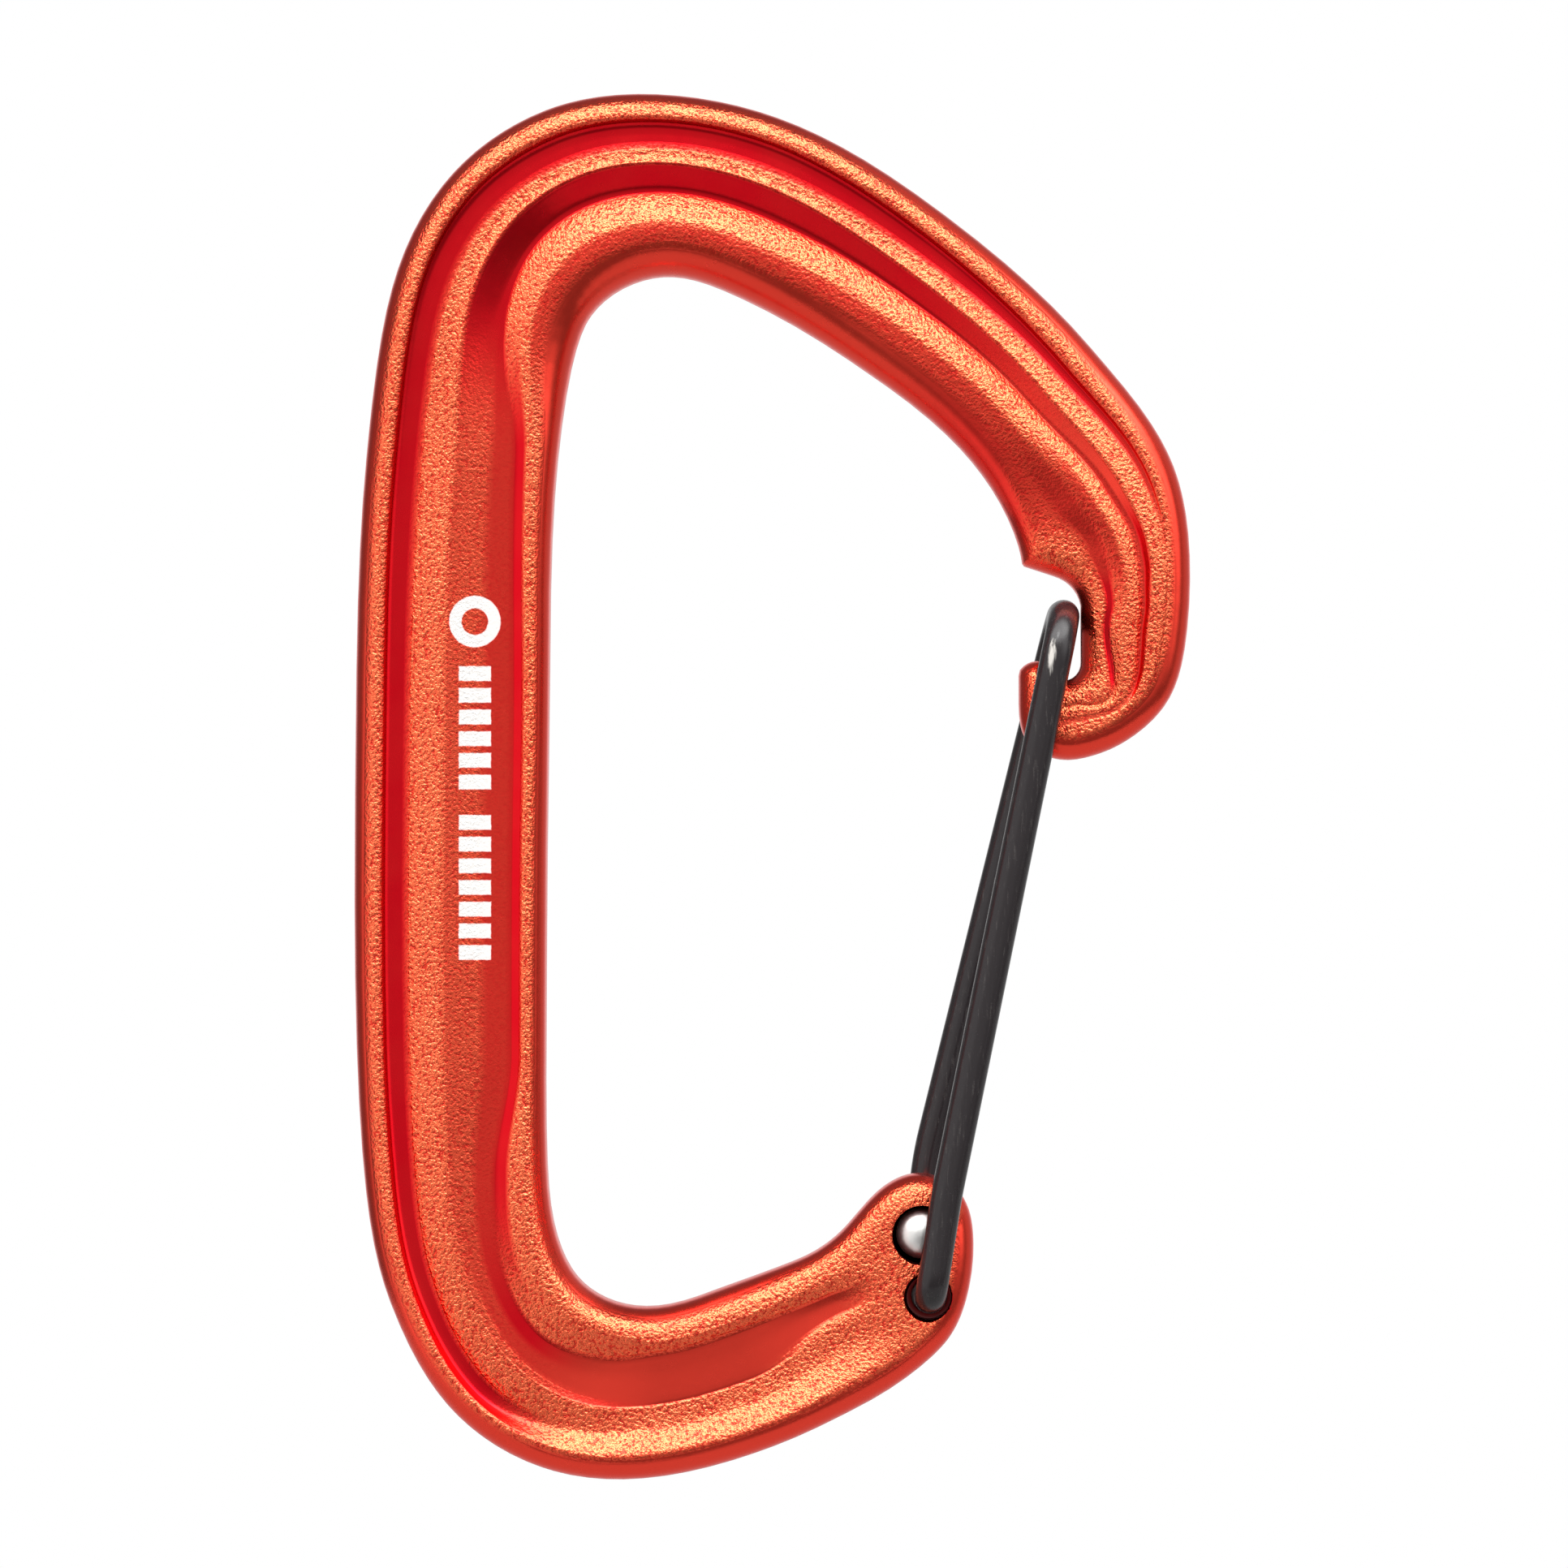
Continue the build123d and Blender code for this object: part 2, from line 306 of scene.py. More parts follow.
def cut_at_mid_plane(node):
    """The closed lines, in millimetres, where a CAD node is cut by the plane y = 0, longest first."""
    mesh = bmesh.new()
    mesh.from_mesh(frame["nodes"][node].data)
    bmesh.ops.remove_doubles(mesh, verts=mesh.verts, dist=1e-7)
    everything = mesh.verts[:] + mesh.edges[:] + mesh.faces[:]
    plane = {"plane_co": (0, 0, 0), "plane_no": (0, 1, 0)}
    cut = bmesh.ops.bisect_plane(mesh, geom=everything, dist=1e-7, **plane)
    edges = [e for e in cut["geom_cut"] if isinstance(e, bmesh.types.BMEdge)]
    near = {}
    for edge in edges:
        for vert, other in (edge.verts, reversed(edge.verts)):
            near.setdefault(vert, []).append(other)
    loops = []
    left = set(near)
    while left:
        start = vert = left.pop()
        loop = [start]
        while True:
            ahead = [v for v in near[vert] if v in left]
            if not ahead:
                break
            vert = ahead[0]
            left.discard(vert)
            loop.append(vert)
        loops.append([(v.co.x / MM, v.co.z / MM) for v in loop])
    mesh.free()
    loops.sort(key=lambda loop: -Outline(loop).length)
    return loops


# Sections across the forging, from the boss's tip round to the nose's tip: a place near the outer edge and a
# place near the inner edge, as x and z in millimetres, and the section's shape where one is set.
SECTIONS = (
    ((20.9, -65.2), (20.9, -65.2), "boss"),
    ((20.4, -71.8), (15.6, -62.9), "boss"),
    ((17.7, -75.6), (12.9, -65.2), "boss"),
    ((14.4, -77.8), (9.6, -68.0), "rail end"),
    ((7.2, -81.2), (3.9, -70.2), "bottom"),
    ((0.2, -83.2), (-0.4, -71.4), "bottom"),
    ((-7.2, -83.1), (-3.2, -71.4), "bottom corner"),
    ((-14.8, -78.8), (-5.9, -69.9), "low corner"),
    ((-19.3, -71.2), (-7.7, -67.0), None),
    ((-21.1, -62.4), (-8.4, -61.6), "spine foot"),
    ((-21.7, -54.1), (-8.5, -53.9), "spine"),
    ((-21.8, -32.0), (-8.3, -32.0), "spine"),
    ((-21.0, -13.5), (-7.8, -12.5), "spine head"),
    ((-20.1, -5.2), (-7.1, -8.0), None),
    ((-18.4, 1.5), (-6.4, -4.9), "top corner"),
    ((-14.6, 7.5), (-5.4, -2.7), None),
    ((-8.5, 11.5), (-3.5, -1.0), "top"),
    ((0.0, 12.5), (0.0, 0.0), "top"),
    ((7.5, 11.0), (4.3, -1.2), "top"),
    ((19.4, 4.0), (12.6, -5.8), "roof"),
    ((29.3, -4.9), (20.8, -12.5), "haunch"),
    ((35.0, -13.2), (23.9, -17.2), "shoulder"),
    ((36.2, -19.4), (24.7, -20.1), "brow"),
    ((36.2, -22.4), (27.6, -21.1), None),
    ((36.0, -25.0), (28.6, -24.4), "nose"),
    ((35.3, -27.8), (28.5, -27.0), "nose low"),
    ((33.3, -31.0), (27.4, -28.0), "nose tip"),
    ((31.0, -32.7), (26.2, -27.0), "nose tip"),
    ((28.9, -33.5), (25.2, -26.8), "nose tip"),
    ((27.2, -33.5), (24.3, -28.6), "nose tip"),
    ((25.2, -32.6), (25.2, -32.6), "nose tip"),
)

# Each shape: how wide it is drawn, the width of the rim that isn't blasted at the outer and the inner edge,
# the rim's radius at the outer and the inner edge, then its knots, each a distance in from the outer edge and
# a height above the mid-plane: the outer ridge's edge, the groove's foot and far side, the middle ridge's
# shoulder and edge, three across the web, and the inner ridge's flank, crest and far side. All are in
# millimetres.
SHAPES = {
    "boss": (
        (10.8, 1.3, 0.5, 1.8, 1.8),
        (
            (1.8, 2.6), (3.4, 2.6), (4.0, 2.6), (4.6, 2.6), (5.2, 2.6), (5.8, 2.6),
            (6.4, 2.6), (7.0, 2.6), (7.8, 2.6), (8.4, 2.6), (9.0, 2.6),
        ),
    ),
    "rail end": (
        (10.3, 1.5, 0.6, 1.9, 1.9),
        (
            (1.9, 2.98), (3.7, 2.45), (4.4, 2.42), (5.0, 2.45), (5.45, 2.46), (5.9, 2.32),
            (6.8, 2.2), (7.5, 2.36), (8.0, 2.56), (8.4, 2.66), (8.9, 2.66),
        ),
    ),
    "bottom": (
        (11.7, 1.6, 1.0, 1.9, 2.4),
        (
            (1.7, 3.5), (3.45, 2.62), (3.9, 2.58), (4.8, 2.55), (5.0, 2.56), (5.3, 2.6),
            (7.2, 2.66), (8.7, 2.76), (9.05, 2.95), (9.4, 3.08), (9.9, 3.08),
        ),
    ),
    "bottom corner": (
        (12.3, 1.5, 0.8, 1.9, 2.4),
        (
            (1.7, 3.45), (3.1, 2.5), (3.4, 2.48), (4.2, 2.56), (5.1, 2.66), (5.6, 2.52),
            (7.2, 2.42), (8.6, 2.5), (9.5, 2.92), (10.4, 3.22), (10.9, 3.25),
        ),
    ),
    "low corner": (
        (12.5, 1.2, 0.9, 1.9, 2.2),
        (
            (1.75, 3.15), (2.1, 2.25), (3.2, 2.34), (3.6, 2.6), (5.3, 2.88), (5.9, 2.82),
            (7.0, 2.74), (8.1, 2.66), (9.2, 2.92), (10.6, 3.2), (11.2, 3.2),
        ),
    ),
    "spine foot": (
        (12.6, 0.85, 0.9, 2.0, 2.0),
        (
            (1.9, 3.0), (2.15, 2.14), (3.5, 2.24), (4.0, 2.5), (5.9, 2.93), (6.4, 2.89),
            (7.6, 2.79), (9.0, 2.62), (9.9, 2.92), (11.0, 3.15), (11.6, 3.2),
        ),
    ),
    "spine": (
        (13.2, 0.9, 0.9, 2.0, 1.8),
        (
            (1.95, 2.95), (2.15, 2.1), (3.65, 2.2), (4.4, 2.5), (6.2, 2.95), (7.0, 2.95),
            (8.8, 2.83), (10.8, 2.5), (11.45, 2.92), (12.1, 3.14), (12.5, 3.15),
        ),
    ),
    "spine head": (
        (13.1, 0.8, 1.1, 2.0, 2.0),
        (
            (1.95, 3.2), (2.15, 2.2), (3.75, 2.34), (4.6, 2.62), (6.2, 3.08), (7.0, 2.98),
            (8.6, 2.84), (10.2, 2.74), (10.9, 2.98), (11.7, 3.2), (12.1, 3.25),
        ),
    ),
    "top corner": (
        (13.7, 0.7, 2.0, 2.0, 3.0),
        (
            (1.95, 3.7), (2.1, 2.68), (3.9, 2.84), (5.0, 3.0), (5.6, 3.28), (7.6, 2.45),
            (8.0, 2.42), (8.3, 2.42), (9.5, 2.95), (10.3, 3.22), (11.5, 3.26),
        ),
    ),
    "top": (
        (12.4, 0.6, 1.85, 2.0, 3.0),
        (
            (1.85, 3.95), (2.0, 2.82), (3.75, 3.02), (4.4, 3.08), (4.8, 3.36), (6.3, 2.3),
            (6.6, 2.25), (6.8, 2.25), (8.0, 3.05), (8.9, 3.36), (10.4, 3.4),
        ),
    ),
    "roof": (
        (12.3, 0.8, 2.3, 2.0, 2.6),
        (
            (2.0, 3.15), (2.2, 2.24), (3.6, 2.4), (4.25, 2.5), (4.85, 2.8), (6.1, 1.98),
            (6.3, 1.92), (6.45, 1.92), (7.5, 2.56), (8.5, 2.86), (9.9, 2.86),
        ),
    ),
    "haunch": (
        (11.8, 1.1, 1.6, 2.0, 2.2),
        (
            (2.3, 2.8), (2.5, 2.22), (3.25, 2.36), (4.0, 2.56), (4.75, 2.84), (5.8, 2.12),
            (5.98, 2.1), (6.1, 2.1), (7.0, 2.62), (8.0, 2.8), (9.4, 2.6),
        ),
    ),
    "shoulder": (
        (11.9, 1.3, 0.8, 1.9, 1.9),
        (
            (1.9, 2.55), (2.05, 2.3), (2.45, 2.36), (3.1, 2.54), (4.0, 2.8), (4.6, 2.4),
            (4.8, 2.34), (5.1, 2.36), (6.2, 2.8), (7.2, 2.68), (8.8, 2.22),
        ),
    ),
    "brow": (
        (11.5, 1.3, 0.7, 1.8, 1.8),
        (
            (1.6, 2.36), (1.75, 2.38), (1.9, 2.44), (2.3, 2.58), (2.95, 2.72), (3.3, 2.28),
            (3.5, 2.24), (3.8, 2.28), (4.9, 2.68), (5.8, 2.4), (6.9, 2.2),
        ),
    ),
    "nose": (
        (7.8, 1.3, 0.6, 1.8, 1.8),
        (
            (1.6, 2.28), (1.8, 2.36), (2.0, 2.46), (2.4, 2.6), (3.1, 2.66), (3.3, 2.2),
            (3.45, 2.18), (3.65, 2.22), (4.7, 2.6), (5.75, 2.2), (6.2, 2.3),
        ),
    ),
    "nose low": (
        (8.6, 1.5, 0.6, 1.8, 1.8),
        (
            (1.7, 2.32), (2.0, 2.42), (2.3, 2.5), (2.7, 2.54), (3.3, 2.54), (3.5, 2.2),
            (3.65, 2.18), (3.9, 2.24), (5.0, 2.52), (5.75, 2.16), (6.2, 2.32),
        ),
    ),
    "nose tip": (
        (9.0, 1.5, 0.6, 1.8, 1.8),
        (
            (1.8, 2.4), (2.1, 2.4), (2.3, 2.4), (2.6, 2.4), (3.0, 2.4), (3.2, 2.38),
            (3.4, 2.38), (3.6, 2.38), (4.2, 2.4), (4.6, 2.2), (5.0, 2.38),
        ),
    ),
}

# How softly the section bends at each knot: half the width of the bend, in millimetres.
BENDS = (0.10, 0.40, 0.12, 0.35, 0.10, 0.45, 0.50, 0.35, 0.70, 0.70, 0.60)

# The finish of each stretch before, between and after the knots: c is blasted coarse, m lightly blasted,
# s smooth from the die, h smooth with painted shade at half strength, r the same with half its grain kept,
# d a smooth wall in full painted shade and k a crease in darker painted shade.
FINISHES = {
    "boss": "cccccccccccc",
    "rail end": "ccccccsscccc",
    "bottom": "cccccssscccc",
    "bottom corner": "ccccchsscccc",
    "low corner": "cddccmhdcccc",
    "spine foot": "cddccmmhdccc",
    "spine": "cddccmmhdccc",
    "spine head": "cddccmmhdccc",
    "top corner": "cddccdddccrs",
    "top": "cddccdddccrs",
    "roof": "cddccdddccrs",
    "haunch": "cddcchhhccrh",
    "shoulder": "chhccshhcrhr",
    "brow": "ccccckhrcrhc",
    "nose": "ccccckhrcckc",
    "nose low": "ccccckhrcckc",
    "nose tip": "cccccmmmcccc",
}

# How coarse each finish is, and how much painted shade each one is given.
COARSE = {"c": 1.0, "r": 0.5, "m": 0.55, "s": 0.0, "h": 0.15, "d": 0.0, "k": 0.0}
SHADE_BY_FINISH = {"c": 0.0, "r": 0.45, "m": 0.1, "s": 0.05, "h": 0.5, "d": 1.0, "k": 1.45}
COLUMNS = (10, 7, 4, 5, 4, 8, 5, 5, 7, 6, 5, 11)  # how many points each of those stretches has


def profile_table(outer_runs):
    """Each section shape's numbers as columns over the distance along the outer edge."""
    keys, rims, offsets, heights, coarse, painted_shade = [], [], [], [], [], []
    for run, (_, _, name) in zip(outer_runs, SECTIONS):
        if name is None:
            continue
        (width, *rim), knots = SHAPES[name]
        keys.append(run)
        rims.append(rim)
        offsets.append([offset / width for offset, _ in knots])
        heights.append([height for _, height in knots])
        coarse.append([COARSE[letter] for letter in FINISHES[name]])
        painted_shade.append([SHADE_BY_FINISH[letter] for letter in FINISHES[name]])
    return np.array(keys), [np.array(table) for table in (rims, offsets, heights, coarse, painted_shade)]


def columns(keys, table, runs):
    return np.stack([smooth_through(keys, table[:, k], runs) for k in range(table.shape[1])], axis=1)


def body_sheet(outline):
    """The front face as rows of points: x, height and z, with how coarse each one is and how much painted
    shade it is given.
    """
    outer_runs = [outline.nearest(outer) for outer, _, _ in SECTIONS]
    inner_runs = [outline.nearest(inner) for _, inner, _ in SECTIONS]
    way = 1 if np.mod(outer_runs[1] - outer_runs[0], outline.length) < outline.length / 2 else -1
    outer_along = np.abs(unwound(outer_runs, way, outline.length))
    inner_along = np.abs(unwound(inner_runs, -way, outline.length))
    stations = stations_along(outer_along, inner_along)
    outer = outline.at(outer_runs[0] + way * stations)
    inner = outline.at(inner_runs[0] - way * smooth_through(outer_along, inner_along, stations))
    shape_keys, tables = profile_table(outer_along)
    rims, offsets, heights, coarse, painted_shade = (columns(shape_keys, table, stations) for table in tables)
    rows = []
    for k in range(len(stations)):
        width = np.linalg.norm(inner[k] - outer[k])
        across = row_places(np.concatenate([[0], offsets[k], [1]]))
        level = bent_line(offsets[k] * width, heights[k], across * width)
        flat = outer[k] + (inner[k] - outer[k]) * across[:, None]
        borders = offsets[k] * width
        looks = [bordered(borders, stretch, across * width) for stretch in (coarse[k], painted_shade[k])]
        rows.append(np.column_stack([flat[:, 0], level, flat[:, 1], *looks, across]))
    rows = np.array(rows)
    sheet, coarse, painted_shade, across = rows[:, :, :3], rows[:, :, 3], rows[:, :, 4], rows[:, :, 5]
    depth = np.zeros(across.shape)
    depth[:, 1:-1] = outline.distance(sheet[:, 1:-1][:, :, (0, 2)].reshape(-1, 2)).reshape(len(sheet), -1)
    half = np.clip((across - RIM_CHANGE[0]) / RIM_CHANGE[1], 0, 1)
    half = half * half * (3 - 2 * half)
    radius = rims[:, 2:3] * (1 - half) + rims[:, 3:4] * half
    crest = heights[:, :1] * (1 - half) + heights[:, -1:] * half
    rise = np.clip(depth / radius, 0, 1)
    rim = crest - RIM_WALL * radius + radius * np.sqrt(1 - (1 - rise) ** 2)
    rim += np.clip(depth - 0.9 * radius, 0, None) * 1.5
    gap = np.clip(CREASE - np.abs(rim - sheet[:, :, 1]), 0, None)
    sheet[:, :, 1] = np.minimum(rim, sheet[:, :, 1]) - gap**2 / (4 * CREASE) * (depth > 0)
    bare = rims[:, :1] * (1 - half) + rims[:, 1:2] * half
    coarse = coarse * np.clip((depth - bare + 0.2) / 0.4, 0, 1)
    return sheet, coarse, painted_shade


def bent_line(places, levels, across):
    """Straight runs through some levels, bent softly where they meet and level beyond the first and last."""
    step = np.diff(places)
    slope = np.concatenate([[0], np.diff(levels) / np.maximum(step, 1e-6), [0]])
    room = np.minimum(np.concatenate([[9], step]), np.concatenate([step, [9]]))
    line = np.full(len(across), levels[0])
    for k, place in enumerate(places):
        reach = max(min(BENDS[k], 0.48 * room[k]), 1e-6)
        beyond = np.clip(across - place, -reach, reach) + reach
        beyond = beyond**2 / (4 * reach) + np.clip(across - place - reach, 0, None)
        line += (slope[k + 1] - slope[k]) * beyond
    return line


def bordered(borders, stretches, across):
    """A value for each stretch of one row, with a narrow soft border between stretches."""
    value = np.full(len(across), stretches[0])
    for border, before, after in zip(borders, stretches, stretches[1:]):
        value += np.clip((across - border) / BORDER + 0.5, 0, 1) * (after - before)
    return value


def unwound(runs, way, length):
    """Distances from the first place, all counted the same way round the outline."""
    return np.array([way * np.mod(way * (run - runs[0]), length) for run in runs])


def stations_along(outer, inner):
    """Where the rows lie along the outer edge: no more than one step apart on the longer side."""
    places = [0.0]
    for k in range(len(outer) - 1):
        longer = max(outer[k + 1] - outer[k], inner[k + 1] - inner[k])
        count = max(2, int(math.ceil(longer / ROW_STEP)))
        places.extend(np.linspace(outer[k], outer[k + 1], count + 1)[1:])
    return np.array(places)


def row_places(marks):
    """Where the points lie across one row, closer together at the rims."""
    places = [0.0]
    for k, count in enumerate(COLUMNS):
        t = np.linspace(0, 1, count + 1)[1:]
        if k == 0:
            t = t**1.5
        elif k == len(COLUMNS) - 1:
            t = 1 - (1 - t) ** 1.5
        places.extend(marks[k] + (marks[k + 1] - marks[k]) * t)
    return np.array(places)


# ---------------------------------------------------------------- meshes


def add_object(name, data):
    made = bpy.data.objects.new(name, data)
    bpy.context.scene.collection.objects.link(made)
    return made


def finish_mesh(name, mesh, material):
    """A smooth-shaded object made from a bmesh."""
    bmesh.ops.remove_doubles(mesh, verts=mesh.verts, dist=2e-7)
    bmesh.ops.dissolve_degenerate(mesh, edges=mesh.edges, dist=1e-8)
    bmesh.ops.recalc_face_normals(mesh, faces=mesh.faces)
    data = bpy.data.meshes.new(name)
    mesh.to_mesh(data)
    mesh.free()
    data.shade_smooth()
    made = add_object(name, data)
    data.materials.append(material)
    return made


def skin_rings(mesh, rings, closed_ends=True):
    """Faces between rings of points, in order, with one flat face over each end."""
    loops = [[mesh.verts.new(point) for point in ring] for ring in rings]
    for one, two in zip(loops, loops[1:]):
        for k in range(len(one)):
            after = (k + 1) % len(one)
            mesh.faces.new((one[k], one[after], two[after], two[k]))
    if closed_ends:
        mesh.faces.new(loops[0])
        mesh.faces.new(list(reversed(loops[-1])))


def circle(count):
    return np.linspace(0, 2 * math.pi, count, endpoint=False)


def turned(profile, centre, side, count=64):
    """Rings of a piece turned about a line along Y: profile gives radius and distance along, in mm."""
    rings = []
    for radius, along in profile:
        ring = [(centre[0] + radius * math.cos(a), centre[1] + radius * math.sin(a)) for a in circle(count)]
        rings.append([(x * MM, side * along * MM, z * MM) for x, z in ring])
    return rings


def both_sides(sheet):
    """The sheet's rows of points in metres, on the front and mirrored on the back."""
    for side in (-1, 1):
        yield [[(p[0] * MM, side * p[1] * MM, p[2] * MM) for p in row] for row in sheet]


def forged_mesh(sheet):
    """The closed body: the sheet on the front, its mirror on the back, and the wall between."""
    mesh = bmesh.new()
    rows, count = sheet.shape[:2]
    faces = [[[mesh.verts.new(point) for point in row] for row in side] for side in both_sides(sheet)]
    for grid in faces:
        for j in range(rows - 1):
            for k in range(count - 1):
                mesh.faces.new((grid[j][k], grid[j][k + 1], grid[j + 1][k + 1], grid[j + 1][k]))
    for j in range(rows - 1):
        for k in (0, count - 1):
            mesh.faces.new((faces[0][j][k], faces[0][j + 1][k], faces[1][j + 1][k], faces[1][j][k]))
    for grid in faces:
        bmesh.ops.remove_doubles(mesh, verts=grid[-1], dist=TIP_WELD * MM)
    return mesh


def nearest_places(made, places):
    """For each point of a piece, which of some places is nearest."""
    tree = KDTree(len(places))
    for index, place in enumerate(places):
        tree.insert(place, index)
    tree.balance()
    return [tree.find(vert.co)[1] for vert in made.data.vertices]


def paint(made, name, values):
    layer = made.data.attributes.new(name, "FLOAT", "POINT")
    layer.data.foreach_set("value", values.astype(np.float32))


def volume(data):
    mesh = bmesh.new()
    mesh.from_mesh(data)
    size = mesh.calc_volume()
    mesh.free()
    return size


def drill(made, cutters):
    """Cuts closed cutter objects out of a piece and removes them."""
    for cutter in cutters:
        before = volume(made.data)
        step = made.modifiers.new("drill", "BOOLEAN")
        step.operation = "DIFFERENCE"
        step.solver = "EXACT"
        step.object = cutter
        graph = bpy.context.evaluated_depsgraph_get()
        cut = bpy.data.meshes.new_from_object(made.evaluated_get(graph))
        made.modifiers.clear()
        if not 0 < before - volume(cut) < 0.1 * before:
            raise RuntimeError("a bore could not be cut in the forged body")
        made.data = cut
        bpy.data.objects.remove(cutter)


def bore_cutter(seat, ball):
    """A turned cutter for one bore: the wire's hole, the ball's seat and a broken edge at each mouth."""
    side, ball_radius, pole = ball_size(ball)
    centre = (sum(p[0] for p in seat) / len(seat), sum(p[1] for p in seat) / len(seat))
    seat_radius = sum(math.hypot(p[0] - centre[0], p[1] - centre[1]) for p in seat) / len(seat)
    radius = wire_size() + bpy.context.scene.carabiner_gate.bore_clearance
    seat_floor = pole - 2 * ball_radius - 0.15
    profile = [
        (radius + 0.2, -BOSS_FACE - 1),
        (radius + 0.2, -BOSS_FACE),
        (radius + 0.06, -BOSS_FACE + 0.12),
        (radius, -BOSS_FACE + 0.3),
        (radius, seat_floor),
        (seat_radius, seat_floor + 0.05),
        (seat_radius, BOSS_FACE - 0.12),
        (seat_radius + 0.03, BOSS_FACE - 0.04),
        (seat_radius + 0.08, BOSS_FACE),
        (seat_radius + 0.08, BOSS_FACE + 1),
    ]
    mesh = bmesh.new()
    skin_rings(mesh, turned(profile, centre, side, 96))
    return finish_mesh("cutter", mesh, None)


def tube_along(path, radius, count):
    """Rings round a path of points, none of them twisted against the next."""
    rings = []
    across = None
    for k, point in enumerate(path):
        way = (path[min(k + 1, len(path) - 1)] - path[max(k - 1, 0)]).normalized()
        if across is None:
            across = way.orthogonal().normalized()
        across = (across - way * across.dot(way)).normalized()
        other = way.cross(across)
        rings.append([point + (across * math.cos(a) + other * math.sin(a)) * radius for a in circle(count)])
    return rings


def rounded_path(corners, radii, step):
    """Points about a step apart along straight runs joined by arcs."""
    path = [corners[0]]
    for before, corner, after, radius in zip(corners, corners[1:], corners[2:], radii):
        one, two = (before - corner).normalized(), (after - corner).normalized()
        half = one.angle(two) / 2
        reach = radius / math.tan(half)
        centre = corner + (one + two).normalized() * (radius / math.sin(half))
        start, end = corner + one * reach - centre, corner + two * reach - centre
        sweep = start.angle(end)
        count = max(6, int(sweep * radius / step))
        path.extend(run_points(path[-1], start + centre, step))
        for k in range(1, count + 1):
            t = k / count
            share = (math.sin((1 - t) * sweep) * start + math.sin(t * sweep) * end) / math.sin(sweep)
            path.append(centre + share)
    path.extend(run_points(path[-1], corners[-1], step))
    return path


def run_points(start, end, step):
    count = max(1, int((end - start).length / step))
    return [start.lerp(end, k / count) for k in range(1, count + 1)]


# ---------------------------------------------------------------- finishes


def anodised_finish(look):
    """Colour-anodised aluminium: blasted and sparkling on the ridges, with painted glints and painted shade
    in the grain; smooth on the walls, with painted shade on the walls, in the creases and in the bores.
    """
    material, recipe = new_material("anodised_aluminium")
    place, (x, y, z) = recipe.place()
    coarse, painted_shade = recipe.painted("coarse"), recipe.painted("painted_shade")
    pebbles = recipe.noise(place, look.grain_per_mm, 1.0, 0.5)
    dust = recipe.noise(place, look.grain_per_mm * 2.3, 1.0, 0.5)
    clouds = recipe.noise(place, 0.22, 3.0)
    skin = recipe.noise(place, 1.6, 3.0, 0.6)
    blasted = (pebbles * 0.75 + dust * 0.25) * coarse
    relief = recipe.bump(blasted, look.grain_depth * MM)
    relief = recipe.bump(skin, 0.02 * MM, 0.25, relief)
    # Painted glint and painted shade in the grain: the orange on the dimples' tops stands in for glints, and
    # the darker red in their bottoms is painted shade.
    glint_and_pit_shade = recipe.colour(pebbles.ramp(0.34, 0.50), rgba(look.pit_shade_colour), rgba(look.colour))
    dye = recipe.colour(coarse, rgba(look.smooth_colour), glint_and_pit_shade)
    # Painted shade: the walls, hollows and creases are painted towards a deep red.
    dye = recipe.colour(painted_shade.at_most(1), dye, rgba(look.wall_shade_colour))
    dye = recipe.colour((clouds - 0.35) * 0.3, dye, rgba(look.smooth_colour))
    # Darker painted shade beyond that, in the creases and most of all in the bores.
    dye = recipe.colour((painted_shade - 1).ramp(0.2, 0.8), dye, rgba(look.bore_shade_colour))
    mark = printed_mark(x, y, z, recipe.noise(place, 3.0, 2.0))
    colour = recipe.colour(mark, dye, rgba(MARK_COLOUR))
    roughness = 0.26 + (skin - 0.5) * 0.08
    inputs = {
        "Base Color": colour,
        "Metallic": 1 - mark,
        "Roughness": roughness + mark * 0.25,
        "Normal": relief,
    }
    recipe.principled(inputs)
    return material


def rgba(colour):
    return (*colour, 1)


def printed_mark(x, y, z, wear):
    """A plain printed strip on the front of the web: a ring, then two runs of short dashes, slightly worn."""
    across, along = x - MARK_PLACE[0], z - MARK_PLACE[1]
    edge = (wear - 0.5) * 0.10
    shape = abs((across * across + along * along).root() - RING_RADIUS) - RING_HALF
    for start, count in DASH_RUNS:
        middle = start - DASH_STEP * (count - 1) / 2
        beside = (z - start).repeated(DASH_STEP)
        dash = (abs(across) - DASH_REACH).at_least(abs(beside) - DASH_HALF)
        shape = shape.at_most(dash.at_least(abs(z - middle) - DASH_STEP * count / 2))
    return (1 - (shape + edge).ramp(-0.04, 0.06)) * (y < 0)


